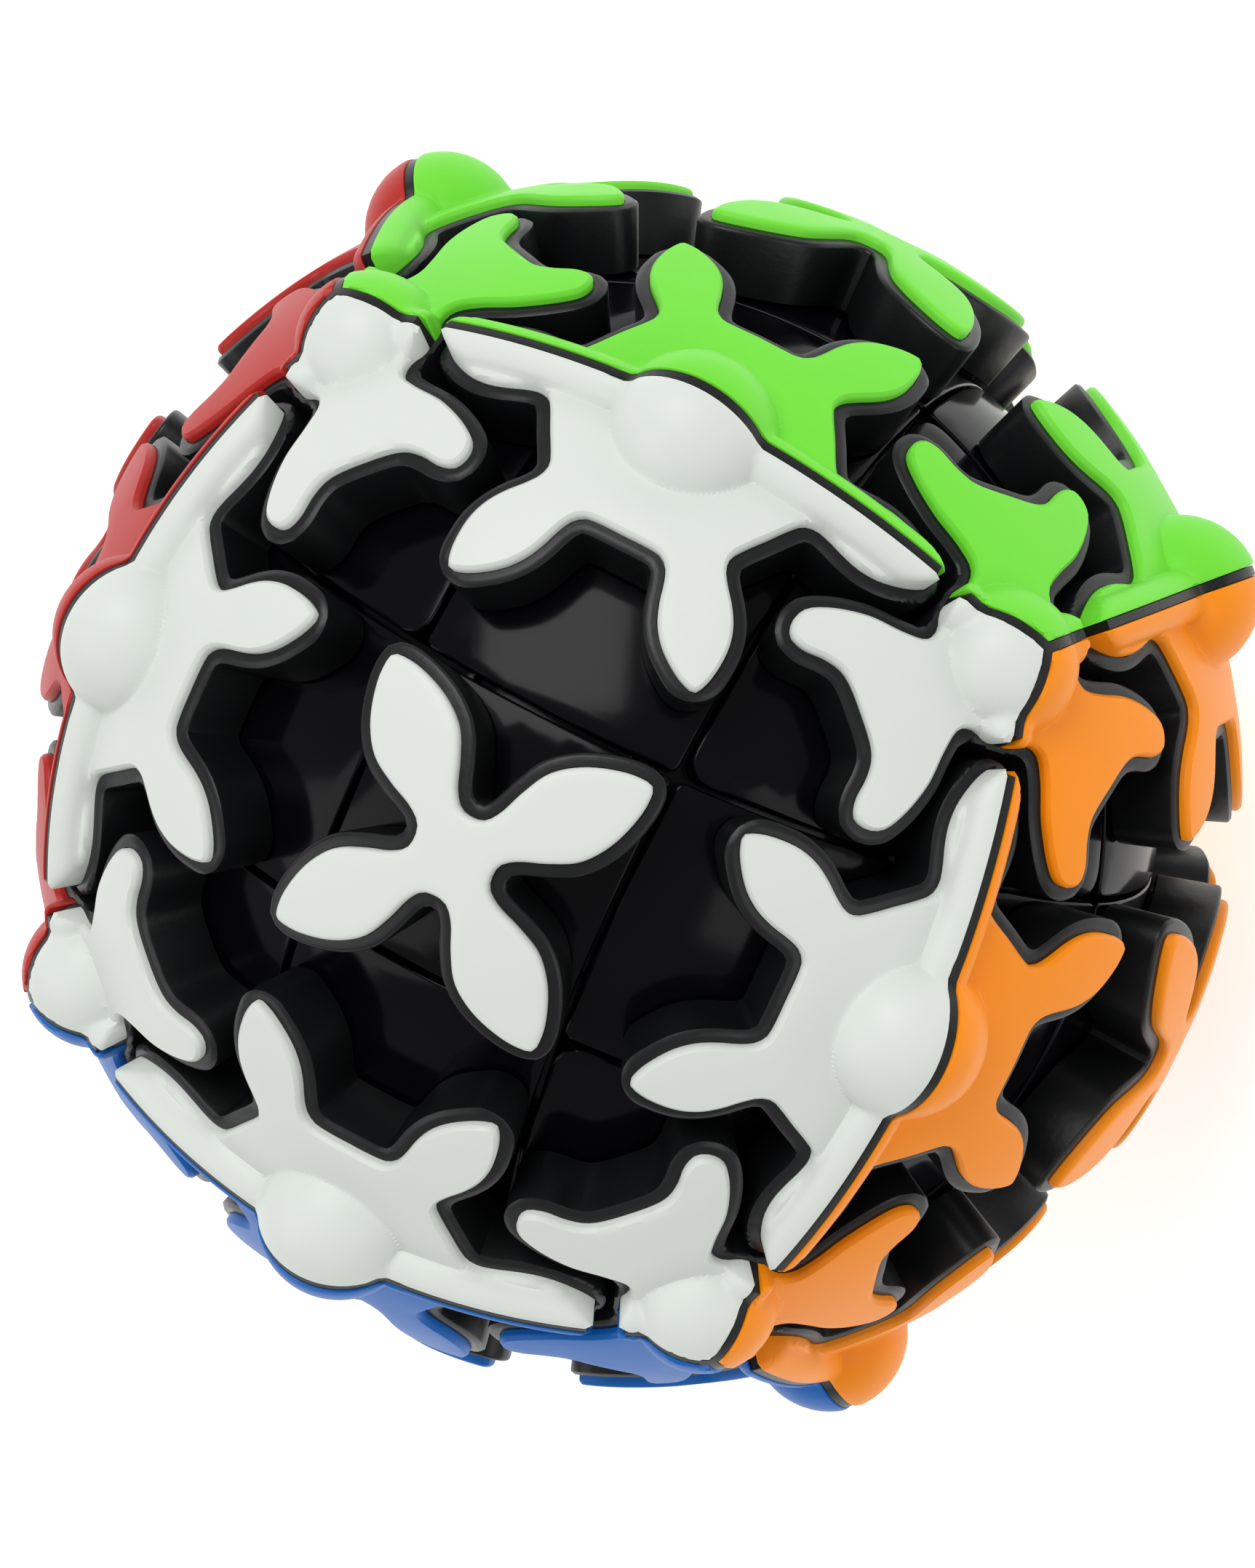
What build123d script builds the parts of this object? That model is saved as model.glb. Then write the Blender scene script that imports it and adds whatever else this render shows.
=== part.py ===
from build123d import *
import os
from math import cos, hypot, pi, sin, tan

# Geared ball puzzle: a 3 x 3 x 3 twisting puzzle in a round shell.
# The origin is the middle of the ball, with the white side at +Z, green at +Y and orange at +X.
# All lengths are in millimetres, and every level of the ball is a radius from its middle.

# Levels of the ball, from the coloured surface inwards
R_TILE = 36.0          # surface of the coloured tiles
R_RIM = 35.4           # top of the dark rim around each tile
R_SEAT = 34.2          # floor of the pocket that a tile sits in
R_PLATE = 31.5         # underside of the toothed plates
R_FLOOR = 31.2         # dark floor under the teeth
R_CAP = 28.2           # underside of the floor shell
R_FOOT = 27.9          # top of the feet that run under the shell
R_EDGE_FOOT = 19.5     # inner end of the edge feet
R_CORNER_FOOT = 21.5   # inner end of the corner feet
R_STALK = 13.4         # inner end of the centre stalks
R_ARM = 13.2           # outer end of the core's arms

# Layer cuts: planes at this height on either side of the middle slice
CUT_CAP = 8.1          # at the level of the floor shell
CUT_FOOT = 5.0         # at the level of the feet
GAP = 0.15             # half the running gap between two layers
FIT = 0.1              # glue gap round a tile, and radial play of shafts and screws

# Tiles, ridges and domes
SEAM = 0.5             # thickness of the dark wall between two colours
SEAM_DROP = 0.15       # how far that wall stays below the tiles
RIM = 0.8              # width of the dark rim around a tile
TIP_RIM = 0.5          # rim width at the tip of a tooth
EAR_RIM = 0.3          # rim width at the end of a corner's ear
R_RIDGE = 35.8         # radius of the ridge's centre line
RIDGE = 1.6            # radius of the ridge's round section
EDGE_DOME = (34.9, 4.7)      # distance of the dome's middle, and its radius
CORNER_DOME = (34.9, 4.3)

# Mechanism
GEAR_TEETH = 6
SLEEVE = 3.3           # radius of the gear's sleeve
SLEEVE_END = 24.2      # inner end of the sleeve
GEAR_SCREW = (1.1, 2.2)      # radius of shank and head
CENTRE_SCREW = (1.2, 2.2)
STALK = 4.6            # radius of a centre stalk
SPRING = (1.75, 0.4)    # mean radius and wire radius
SPRING_SPAN = (17.5, 24.1)   # from the stalk's shoulder to under the screw's head
SPRING_TURNS = 5
CORE_BALL = 9.5
CORE_ARM = 4.0

# Half of one tooth from the root to the tip: distance along it, half width, rim width.
# Both distances are arc lengths on the tile surface.
GEAR_ROOT = 8.05
TOOTH = [
    (GEAR_ROOT * cos(pi / 6), GEAR_ROOT * sin(pi / 6), RIM),
    (7.76, 2.63, RIM), (8.22, 2.00, RIM), (8.9, 1.74, RIM), (9.8, 1.82, RIM), (11.0, 2.08, RIM),
    (12.2, 2.17, RIM), (13.4, 1.95, RIM), (14.6, 1.38, RIM), (15.5, 0.72, RIM), (16.0, 0.0, TIP_RIM),
]

# Half of one petal of a centre, in the same way
PETAL = [
    (1.75, 1.75, RIM), (2.35, 1.36, RIM), (3.3, 1.45, RIM), (4.9, 2.12, RIM), (6.6, 2.62, RIM),
    (8.3, 2.42, RIM), (9.9, 1.75, RIM), (11.2, 0.85, RIM), (11.8, 0.0, RIM),
]

# Half of one side of a corner, from the ear on the seam to the valley between its two lobes:
# distance towards the face's middle, distance sideways, rim width
CORNER = [
    (2.45, 4.24, EAR_RIM), (2.92, 4.08, EAR_RIM), (3.36, 3.72, EAR_RIM), (3.62, 3.25, RIM * 0.6),
    (4.1, 2.83, RIM), (4.9, 2.72, RIM), (6.05, 3.5, RIM), (7.7, 5.05, RIM), (9.75, 6.25, RIM),
    (11.05, 6.6, RIM), (11.95, 6.25, RIM), (12.45, 5.45, RIM), (12.1, 4.5, RIM), (11.05, 3.45, RIM),
    (10.4, 2.4, RIM), (10.24, 0.0, RIM),
]

COLOURS = {(0, 0, 1): "white", (0, 1, 0): "green", (1, 0, 0): "orange",
           (-1, 0, 0): "red", (0, -1, 0): "blue", (0, 0, -1): "yellow"}

# The plane sections that a radial wall runs between, as shares of a radius
INSIDE = 0.85
OUTSIDE = 1.15

EDGE = Plane(origin=(0, 0, 0), x_dir=(1, 0, 0), z_dir=(0, 1, 1))
CORNER_FRAME = Plane(origin=(0, 0, 0), x_dir=(-1, -1, 2), z_dir=(1, 1, 1))
CENTRE = Plane(origin=(0, 0, 0), x_dir=(1, 1, 0), z_dir=(0, 0, 1))


# ---------------------------------------------------------------- outlines on the ball
def closed_loop(half_unit, count):
    """Repeat a half profile and its mirror image round the axis, as (x, y, rim) arc lengths."""
    mirrored = [(along, -across, rim) for along, across, rim in half_unit]
    unit = mirrored + half_unit[-2::-1]
    loop = []
    for number in range(count):
        turn = 2 * pi * number / count
        for along, across, rim in unit[:-1]:
            x = along * cos(turn) - across * sin(turn)
            y = along * sin(turn) + across * cos(turn)
            loop.append((x, y, rim))
    return loop


def grown(loop, growth):
    """Move each point outwards by growth, or by its rim width where growth is None."""
    points = []
    for number, (x, y, rim) in enumerate(loop):
        before = loop[number - 1]
        after = loop[(number + 1) % len(loop)]
        along_x, along_y = after[0] - before[0], after[1] - before[1]
        out = (rim if growth is None else growth) / hypot(along_x, along_y)
        points.append((x + out * along_y, y - out * along_x))
    return points


def on_plane(x, y):
    """Where the ray through a point of the tile surface meets a plane one unit from the middle."""
    distance = hypot(x, y)
    stretch = tan(distance / R_TILE) / distance
    return x * stretch, y * stretch


def section(frame, points, distance):
    """Outline of the radial walls on a plane at a distance from the ball's middle."""
    places = []
    for x, y in points:
        flat_x, flat_y = on_plane(x, y)
        places.append(frame.from_local_coords((flat_x * distance, flat_y * distance, distance)))
    return Wire.make_polygon(places, close=True)


def radial_block(frame, profile, growth, inner=R_CAP):
    """Tall solid with flat walls that all point at the ball's middle, from inside the radius inner."""
    half_unit, count = profile
    points = grown(closed_loop(half_unit, count), growth)
    low = section(frame, points, INSIDE * inner)
    high = section(frame, points, OUTSIDE * R_TILE)
    return Solid.make_loft([low, high], ruled=True)


def shell(inner, outer):
    return Sphere(outer) - Sphere(inner)


def half_space(normal, offset):
    """Big block on the positive side of a plane at a distance from the middle."""
    size = 4 * R_TILE
    side = Plane(origin=(0, 0, 0), z_dir=normal)
    return side * Pos(0, 0, offset + size / 2) * Box(size, size, size)


def rod(frame, radius, start, end):
    """Round bar along the frame's axis, between two distances from the middle."""
    return frame * Pos(0, 0, (start + end) / 2) * Cylinder(radius, end - start)


GEAR_PROFILE = (TOOTH, GEAR_TEETH)
PETAL_PROFILE = (PETAL, 4)
CORNER_PROFILE = (CORNER, 3)


# ---------------------------------------------------------------- tiles and toothed plates
def crown(drop, dome_frame, dome, seam_normals, seam_angle):
    """Ball, dome and seam ridges that a piece's top follows, all lowered by drop."""
    distance, radius = dome
    top = Sphere(R_TILE - drop)
    top += dome_frame * Pos(0, 0, distance) * Sphere(radius - drop)
    for normal in seam_normals:
        seam_plane = Plane(origin=(0, 0, 0), x_dir=dome_frame.z_dir, z_dir=normal)
        top += seam_plane * Torus(R_RIDGE, RIDGE - drop, major_angle=seam_angle)
    return top


def tiles_and_wall(frame, profile, dome, seam_normals, seam_angle, sectors):
    """The coloured tiles of one piece, and the dark wall that stands between them."""
    pocket = radial_block(frame, profile, 0.0) - Sphere(R_SEAT)
    wall = pocket & crown(SEAM_DROP, frame, dome, seam_normals, seam_angle)
    coloured = radial_block(frame, profile, -FIT) - Sphere(R_SEAT + FIT)
    coloured &= crown(0.0, frame, dome, seam_normals, seam_angle)
    tiles = []
    for wide_sector, sector in sectors:
        tiles.append(coloured & sector)
        wall -= wide_sector
    return tiles, wall, pocket


def edge_gear():
    """Six-toothed gear with its sleeve, and its two half tiles, at the white and green edge."""
    seam = (0, -1, 1)
    sectors = []
    for normal in (seam, (0, 1, -1)):
        sectors.append([half_space(normal, SEAM / 2), half_space(normal, SEAM / 2 + FIT)])
    tiles, wall, pocket = tiles_and_wall(EDGE, GEAR_PROFILE, EDGE_DOME, [seam], 360, sectors)
    gear = radial_block(EDGE, GEAR_PROFILE, None) & shell(R_PLATE, R_RIM)
    gear = gear - pocket + wall
    gear += rod(EDGE, SLEEVE, SLEEVE_END, R_PLATE + 0.5)
    gear -= rod(EDGE, GEAR_SCREW[0] + FIT, SLEEVE_END - 1, R_PLATE)
    return gear, tiles


def corner_cap(cut, inner, outer):
    """Part of a shell between the three layer cuts around a corner."""
    size = R_TILE
    block = Pos(cut + size / 2, cut + size / 2, cut + size / 2) * Box(size, size, size)
    return shell(inner, outer) & block


def corner_piece():
    """Corner body with its foot, and its three tiles, at the white, green and orange corner."""
    seams = [(0, -1, 1), (1, 0, -1), (-1, 1, 0)]
    sectors = []
    for first, second in (((0, -1, 1), (-1, 0, 1)), ((0, 1, -1), (-1, 1, 0)), ((1, 0, -1), (1, -1, 0))):
        sectors.append([half_space(first, offset) & half_space(second, offset)
                        for offset in (SEAM / 2, SEAM / 2 + FIT)])
    tiles, wall, pocket = tiles_and_wall(CORNER_FRAME, CORNER_PROFILE, CORNER_DOME, seams, 90, sectors)
    outline = radial_block(CORNER_FRAME, CORNER_PROFILE, None)
    body = outline & shell(R_PLATE, R_RIM)
    body = body - pocket + wall
    body += outline & corner_cap(CUT_CAP + GAP, R_FLOOR - 0.4, R_PLATE + 0.4)
    body += corner_cap(CUT_CAP + GAP, R_CAP, R_FLOOR)
    body += corner_cap(CUT_CAP + GAP, R_FOOT - 0.5, R_CAP + 0.5)
    body += corner_cap(CUT_FOOT + GAP, R_CORNER_FOOT, R_FOOT)
    return body, tiles


def edge_cap(half_width, cut, inner, outer):
    """Part of a shell between the layer cuts around the white and green edge."""
    size = R_TILE
    block = Pos(0, cut + size / 2, cut + size / 2) * Box(2 * half_width, size, size)
    return shell(inner, outer) & block


def edge_foot():
    """Floor cap and foot of an edge, bored for the gear's sleeve and its screw."""
    foot = edge_cap(CUT_CAP - GAP, CUT_CAP + GAP, R_CAP, R_FLOOR)
    foot += edge_cap(CUT_FOOT - GAP, CUT_CAP + GAP, R_FOOT - 0.5, R_CAP + 0.5)
    foot += edge_cap(CUT_FOOT - GAP, CUT_FOOT + GAP, R_EDGE_FOOT, R_FOOT)
    foot -= rod(EDGE, SLEEVE + FIT, SLEEVE_END - 0.2, R_TILE)
    foot -= rod(EDGE, GEAR_SCREW[0] + 0.2, R_EDGE_FOOT - 1, R_TILE)
    foot -= rod(EDGE, GEAR_SCREW[1] + 0.3, R_EDGE_FOOT - 1, SLEEVE_END - 2.0)
    return foot


def gear_screw():
    """Screw from inside the foot into the gear's sleeve."""
    shank, head = GEAR_SCREW
    seat = SLEEVE_END - 2.0
    screw = rod(EDGE, head, seat - 1.6, seat - 0.1)
    screw += rod(EDGE, shank, seat - 0.2, R_PLATE - 0.5)
    return screw


def centre_piece():
    """White centre with its stalk, and its four-petal tile."""
    side = 2 * (CUT_CAP - GAP)
    cell = Pos(0, 0, R_TILE) * Box(side, side, 2 * R_TILE)
    outline = radial_block(CENTRE, PETAL_PROFILE, None)
    body = outline & shell(R_PLATE, R_RIM)
    body -= radial_block(CENTRE, PETAL_PROFILE, 0.0) - Sphere(R_SEAT)
    body += radial_block(CENTRE, PETAL_PROFILE, 0.0) & shell(R_FLOOR - 0.4, R_PLATE + 0.4)
    body += shell(R_CAP, R_FLOOR) & cell
    body += rod(CENTRE, STALK, R_STALK, R_CAP + 0.6)
    body -= rod(CENTRE, CENTRE_SCREW[1] + 0.1, SPRING_SPAN[0] - SPRING[1] - 0.1, R_SEAT)
    body -= rod(CENTRE, CENTRE_SCREW[0] + 0.2, R_STALK - 1, SPRING_SPAN[0])
    tile = (radial_block(CENTRE, PETAL_PROFILE, -FIT) & Sphere(R_TILE)) - Sphere(R_SEAT + FIT)
    return body, tile


def centre_screw():
    """Screw that holds a centre to an arm of the core, against its spring."""
    shank, head = CENTRE_SCREW
    under_head = SPRING_SPAN[1] + SPRING[1] + 0.1
    return rod(CENTRE, shank, 6.0, under_head + 0.1) + rod(CENTRE, head, under_head, under_head + 1.6)


def centre_spring():
    """Coil spring round the screw, inside the stalk."""
    mean, wire = SPRING
    start, end = SPRING_SPAN
    path = Helix(pitch=(end - start) / SPRING_TURNS, height=end - start, radius=mean)
    round_wire = Plane(origin=path @ 0, z_dir=path % 0) * Circle(wire)
    return Pos(0, 0, start) * sweep(round_wire, path=path)


def core():
    """Core ball with six arms, each bored for a centre screw."""
    body = Sphere(CORE_BALL)
    for direction in COLOURS:
        body += rod(Plane(origin=(0, 0, 0), z_dir=direction), CORE_ARM, 0, R_ARM)
    for direction in COLOURS:
        body -= rod(Plane(origin=(0, 0, 0), z_dir=direction), CENTRE_SCREW[0] + FIT, 5.9, R_ARM + 1)
    return body


# ---------------------------------------------------------------- placing by symmetry
def colour_of(shape):
    """Colour of the side that a tile faces: the axis along which its middle lies furthest out."""
    middle = shape.center()
    best = max(COLOURS, key=lambda side: middle.dot(Vector(*side)))
    return COLOURS[best]


def turned(shape, flipped, quarter):
    """Copy turned about Z by quarters, after a half turn about X if it belongs to the lower layer."""
    placed = shape.rotate(Axis.X, 180) if flipped else shape
    return placed.rotate(Axis.Z, 90 * quarter)


def around_slice(shape, axis, angle, quarter):
    """Copy laid on the middle slice by a turn about X or Y, then turned about Z by quarters."""
    return shape.rotate(axis, angle).rotate(Axis.Z, 90 * quarter)


def write(name, *shapes):
    solids = [solid for shape in shapes for solid in shape.solids()]
    shape = solids[0] if len(solids) == 1 else Compound(children=solids)
    export_step(shape, os.path.join("parts", name + ".step"), write_pcurves=False)


def write_layer(layer, pieces):
    """One outer layer: its centre, four corners, four edges, and the tiles grouped by colour."""
    flipped = layer == "lower"
    side = "yellow" if flipped else "white"
    feet = []
    screws = []
    tiles = {}
    centre, centre_tile = [turned(shape, flipped, 0) for shape in pieces["centre"]]
    write(side + "_centre", centre)
    tiles.setdefault(side, []).append(centre_tile)
    for quarter in range(4):
        for kind, ending in (("corner", "_corner"), ("gear", "_gear")):
            body, own_tiles = pieces[kind]
            placed = turned(body, flipped, quarter)
            own = [turned(tile, flipped, quarter) for tile in own_tiles]
            names = sorted((colour_of(tile) for tile in own), key=lambda name: name != side)
            write("_".join(names) + ending, placed)
            for tile in own:
                tiles.setdefault(colour_of(tile), []).append(tile)
        feet.append(turned(pieces["foot"], flipped, quarter))
        screws.append(turned(pieces["gear_screw"], flipped, quarter))
    write(layer + "_edge_feet", *feet)
    write(layer + "_gear_screws", *screws)
    for name, group in tiles.items():
        write(layer + "_" + name + "_tiles", *group)


def write_slice(pieces):
    """The middle slice: core, four centres, and four gears that each turn on their own foot."""
    write("core", core())
    screws = []
    springs = []
    for direction, name in COLOURS.items():
        axis = Plane(origin=(0, 0, 0), z_dir=direction)
        screws.append(axis * pieces["centre_screw"])
        springs.append(axis * pieces["centre_spring"])
    write("centre_screws", *screws)
    write("centre_springs", *springs)
    feet = []
    for quarter in range(4):
        centre, tile = [around_slice(shape, Axis.X, -90, quarter) for shape in pieces["centre"]]
        name = colour_of(tile)
        write(name + "_centre", centre)
        write(name + "_centre_tile", tile)
        gear, half_tiles = pieces["gear"]
        halves = [around_slice(half, Axis.Y, 90, quarter) for half in half_tiles]
        title = "_".join(sorted(colour_of(half) for half in halves)) + "_gear"
        write(title, around_slice(gear, Axis.Y, 90, quarter))
        write(title + "_screw", around_slice(pieces["gear_screw"], Axis.Y, 90, quarter))
        for half in halves:
            write(title + "_" + colour_of(half) + "_tile", half)
        feet.append(around_slice(pieces["foot"], Axis.Y, 90, quarter))
    write("slice_edge_feet", *feet)


os.makedirs("parts", exist_ok=True)
pieces = {
    "centre": centre_piece(),
    "corner": corner_piece(),
    "gear": edge_gear(),
    "foot": edge_foot(),
    "gear_screw": gear_screw(),
    "centre_screw": centre_screw(),
    "centre_spring": centre_spring(),
}
write_slice(pieces)
write_layer("upper", pieces)
write_layer("lower", pieces)
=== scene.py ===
import math
import bmesh
import bpy
import numpy as np
from mathutils import Matrix, Vector
from mathutils.geometry import delaunay_2d_cdt


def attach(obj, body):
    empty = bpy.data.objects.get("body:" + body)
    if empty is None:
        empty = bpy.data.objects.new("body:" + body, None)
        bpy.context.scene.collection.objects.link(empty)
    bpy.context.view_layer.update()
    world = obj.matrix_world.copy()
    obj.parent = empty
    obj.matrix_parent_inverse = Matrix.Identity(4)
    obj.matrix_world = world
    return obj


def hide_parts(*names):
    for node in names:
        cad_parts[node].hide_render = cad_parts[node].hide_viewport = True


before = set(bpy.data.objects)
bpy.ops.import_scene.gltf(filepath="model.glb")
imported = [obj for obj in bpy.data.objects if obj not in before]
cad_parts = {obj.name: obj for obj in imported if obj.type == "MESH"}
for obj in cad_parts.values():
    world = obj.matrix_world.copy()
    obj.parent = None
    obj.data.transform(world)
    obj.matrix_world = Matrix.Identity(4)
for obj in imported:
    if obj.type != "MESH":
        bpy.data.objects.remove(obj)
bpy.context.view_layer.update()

# The ball is made by symmetry. Lengths are in millimetres until a mesh is written. Levels, the names
# that start with R_ or end with _END or _TOP, are radii from the middle of the ball. +Z is white, +Y green,
# +X orange.
MM = 0.001
R_TILE = 36.0
R_RIM = 35.4
R_SEAT = 34.2
R_PLATE = 31.5
R_FLOOR = 31.2
R_CAP = 28.2
R_FOOT = 27.9
R_EDGE_FOOT = 19.5
R_CORNER_FOOT = 21.5
R_STALK = 13.4
CUT_CAP = 8.1
CUT_FOOT = 5.0
GAP = 0.15
SEAM = 0.5
SEAM_DROP = 0.15
RIM = 0.8
TIP_RIM = 0.5
EAR_RIM = 0.3
R_RIDGE = 35.8
RIDGE = 1.6
EDGE_DOME = (34.9, 4.7)
CORNER_DOME = (34.9, 4.3)
SLEEVE = 3.3
SLEEVE_END = 24.2
SCREW_HOLE = 1.2
STALK = 4.6
STALK_BORE = 2.3
STALK_BORE_END = 17.0
STALK_SEAT_TOP = 16.98
STALK_SEAT_HOLE = 1.4
HEAD_BORE = 2.5
BORE_PLAY = 0.1
SEAT_GAP = 0.2      # from the end of a gear's sleeve to the wall that its screw holds
SEAT_DEPTH = 2      # from the end of the sleeve to the far side of that wall
LAP = 0.3           # how far a neck, sleeve or stalk runs into the part that it joins
FOOT_LAP = 0.5
CORNER_NECK_IN = 0.6
CENTRE_NECK_IN = 0.3

# How finely the moulded surfaces are drawn, and how round their edges are
STEP = 0.42
GRID = 0.5
CAP_GRID = 1.4
NECK_GRID = 3.0
LEAST_SIDES = 12
ROUND_SIDES = 48
BLEND = 0.3
CREASE_STEPS = (-0.35, -0.16, -0.06, 0.0, 0.04, 0.1, 0.19, 0.32, 0.52, 0.8)
CREASE_SPACING = 0.3
CREASE_ROOM = 0.07
CREASE_APART = 0.05
FILL_APART = 0.17
RING_KEPT = 0.9     # share of a ring's depth that its points must keep from every edge
ROW_HEIGHT = 0.87   # rows of the grid, as a share of the spacing along them
GRID_ROOM = 0.45
SEAM_REACH = 0.5    # how far a seam is followed either side of a piece's middle, in radians
WALL_REACH = 0.7
WALL_FADE = 0.3
CELL_RAYS = 720
CELL_WIDEST = 1.2
HALVINGS = 40
INSIDE = 1          # what the triangulation is asked for: only the triangles inside the outermost loop
SAME_POINT = 1e-6
WELD = 2e-6         # in metres
CRISP = math.radians(38)
TILE_EDGE = 0.38
SEAM_EDGE = 0.16
RIM_EDGE = 0.28
FLOOR_EDGE = 0.22
TILE_GAP = 0.05
CORNER_ROUND = 4.2
CELL_ROUND = 0.7

# Which of its looks a face gets
FIRST = 0
FLOOR = 1

GEAR_ROOT = 8.05
TOOTH = [
    (GEAR_ROOT * math.cos(math.pi / 6), GEAR_ROOT * math.sin(math.pi / 6), RIM),
    (7.76, 2.63, RIM), (8.22, 2.00, RIM), (8.9, 1.74, RIM), (9.8, 1.82, RIM), (11.0, 2.08, RIM),
    (12.2, 2.17, RIM), (13.4, 1.95, RIM), (14.6, 1.38, RIM), (15.5, 0.72, RIM), (16.0, 0.0, TIP_RIM),
]
PETAL = [
    (1.75, 1.75, RIM), (2.35, 1.36, RIM), (3.3, 1.45, RIM), (4.9, 2.12, RIM), (6.6, 2.62, RIM),
    (8.3, 2.42, RIM), (9.9, 1.75, RIM), (11.2, 0.85, RIM), (11.8, 0.0, RIM),
]
CORNER = [
    (2.45, 4.24, EAR_RIM), (2.92, 4.08, EAR_RIM), (3.36, 3.72, EAR_RIM), (3.62, 3.25, RIM * 0.6),
    (4.1, 2.83, RIM), (4.9, 2.72, RIM), (6.05, 3.5, RIM), (7.7, 5.05, RIM), (9.75, 6.25, RIM),
    (11.05, 6.6, RIM), (11.95, 6.25, RIM), (12.45, 5.45, RIM), (12.1, 4.5, RIM), (11.05, 3.45, RIM),
    (10.4, 2.4, RIM), (10.24, 0.0, RIM),
]

COLOURS = {"white": (0, 0, 1), "green": (0, 1, 0), "orange": (1, 0, 0),
           "red": (-1, 0, 0), "blue": (0, -1, 0), "yellow": (0, 0, -1)}


def unit(vector):
    vector = np.array(vector, float)
    return vector / np.linalg.norm(vector)


def make_frame(axis, x_dir):
    """Rows: the local x, y and z directions of a piece whose middle faces along axis."""
    z = unit(axis)
    x = unit(np.array(x_dir, float) - z * np.dot(x_dir, z))
    return np.array([x, np.cross(z, x), z])


EDGE_FRAME = make_frame((0, 1, 1), (1, 0, 0))
CORNER_FRAME = make_frame((1, 1, 1), (-1, -1, 2))
CENTRE_FRAME = make_frame((0, 0, 1), (1, 1, 0))


# ---------------------------------------------------------------- outlines, as arc lengths on the tiles
def closed_loop(half_unit, count):
    """Half a profile, mirrored and repeated round the axis, as rows of x, y and rim width."""
    half = np.array(half_unit)
    whole = np.vstack([half * (1, -1, 1), half[-2::-1]])[:-1]
    rows = []
    for number in range(count):
        turn = 2 * math.pi * number / count
        rows.append(np.column_stack([
            whole[:, 0] * math.cos(turn) - whole[:, 1] * math.sin(turn),
            whole[:, 0] * math.sin(turn) + whole[:, 1] * math.cos(turn), whole[:, 2]]))
    return np.vstack(rows)


def smooth(loop, per_span=10):
    """Closed Catmull-Rom curve through the points of a loop."""
    nxt = np.roll(loop, -1, 0)
    span = np.linalg.norm((nxt - loop)[:, :2], axis=1) ** 0.5
    before = np.roll(span, 1)
    slope = (nxt - loop) / span[:, None]
    tangent = (slope * before[:, None] + np.roll(slope, 1, 0) * span[:, None]) / (span + before)[:, None]
    rows = []
    for share in np.arange(per_span) / per_span:
        s2, s3 = share ** 2, share ** 3
        rows.append((2 * s3 - 3 * s2 + 1) * loop + (s3 - 2 * s2 + share) * span[:, None] * tangent
                    + (3 * s2 - 2 * s3) * nxt + (s3 - s2) * span[:, None] * np.roll(tangent, -1, 0))
    return np.stack(rows, 1).reshape(-1, loop.shape[1])


def evenly(loop, step=STEP):
    """The same closed curve with points at an even spacing."""
    ends = np.vstack([loop, loop[:1]])
    travel = np.r_[0, np.cumsum(np.linalg.norm(np.diff(ends[:, :2], axis=0), axis=1))]
    count = max(LEAST_SIDES, round(travel[-1] / step))
    places = np.linspace(0, travel[-1], count, endpoint=False)
    return np.column_stack([np.interp(places, travel, ends[:, i]) for i in range(loop.shape[1])])


def outward(loop):
    """Unit direction away from the inside of a counter-clockwise loop, at each of its points."""
    along = np.roll(loop, -1, 0)[:, :2] - np.roll(loop, 1, 0)[:, :2]
    along /= np.linalg.norm(along, axis=1)[:, None]
    return np.column_stack([along[:, 1], -along[:, 0]])


def clipped(loop, normal, offset):
    """The part of a closed polygon on the far side of a straight line."""
    kept = []
    heights = loop @ np.array(normal) - offset
    for number in range(len(loop)):
        here, there = heights[number - 1], heights[number]
        if (here < 0) != (there < 0):
            share = here / (here - there)
            kept.append(loop[number - 1] + share * (loop[number] - loop[number - 1]))
        if there >= 0:
            kept.append(loop[number])
    return np.array(kept)


def divided(loop, step=STEP):
    """Extra points on the long straight sides of a polygon."""
    rows = []
    for here, there in zip(loop, np.roll(loop, -1, 0)):
        pieces = max(1, math.ceil(np.linalg.norm(there - here) / step))
        rows.extend(here + (there - here) * k / pieces for k in range(pieces))
    return np.array(rows)


def inside(points, loop):
    """Whether each point lies inside a closed polygon."""
    x, y = points[:, :1], points[:, 1:2]
    x1, y1 = loop[:, 0], loop[:, 1]
    x2, y2 = np.roll(loop, -1, 0).T
    with np.errstate(divide="ignore", invalid="ignore"):
        crossed = ((y1 > y) != (y2 > y)) & (x < (x2 - x1) * (y - y1) / (y2 - y1) + x1)
    return crossed.sum(1) % 2 == 1


def distance(points, loop):
    """Distance from each point to a closed polygon's edge."""
    start = loop[None]
    side = (np.roll(loop, -1, 0) - loop)[None]
    share = ((points[:, None] - start) * side).sum(2) / np.maximum((side ** 2).sum(2), 1e-12)
    nearest = start + np.clip(share, 0, 1)[..., None] * side
    return np.linalg.norm(points[:, None] - nearest, axis=2).min(1)


def lifted(points, radius, axes):
    """Points on the tile surface's map, raised along their own rays to a radius."""
    far = np.maximum(np.hypot(points[:, 0], points[:, 1]), 1e-9)
    angle = far / R_TILE
    local = np.column_stack([points[:, 0] / far * np.sin(angle), points[:, 1] / far * np.sin(angle),
                             np.cos(angle)])
    return (local @ axes) * np.broadcast_to(radius, len(points))[:, None]


def on_map(places, axes):
    """The reverse of lifted: where directions lie on the map of the tile surface."""
    local = places @ axes.T
    local /= np.linalg.norm(local, axis=1)[:, None]
    angle = np.arccos(np.clip(local[:, 2], -1, 1)) * R_TILE
    around = np.arctan2(local[:, 1], local[:, 0])
    return np.column_stack([angle * np.cos(around), angle * np.sin(around)])


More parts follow.
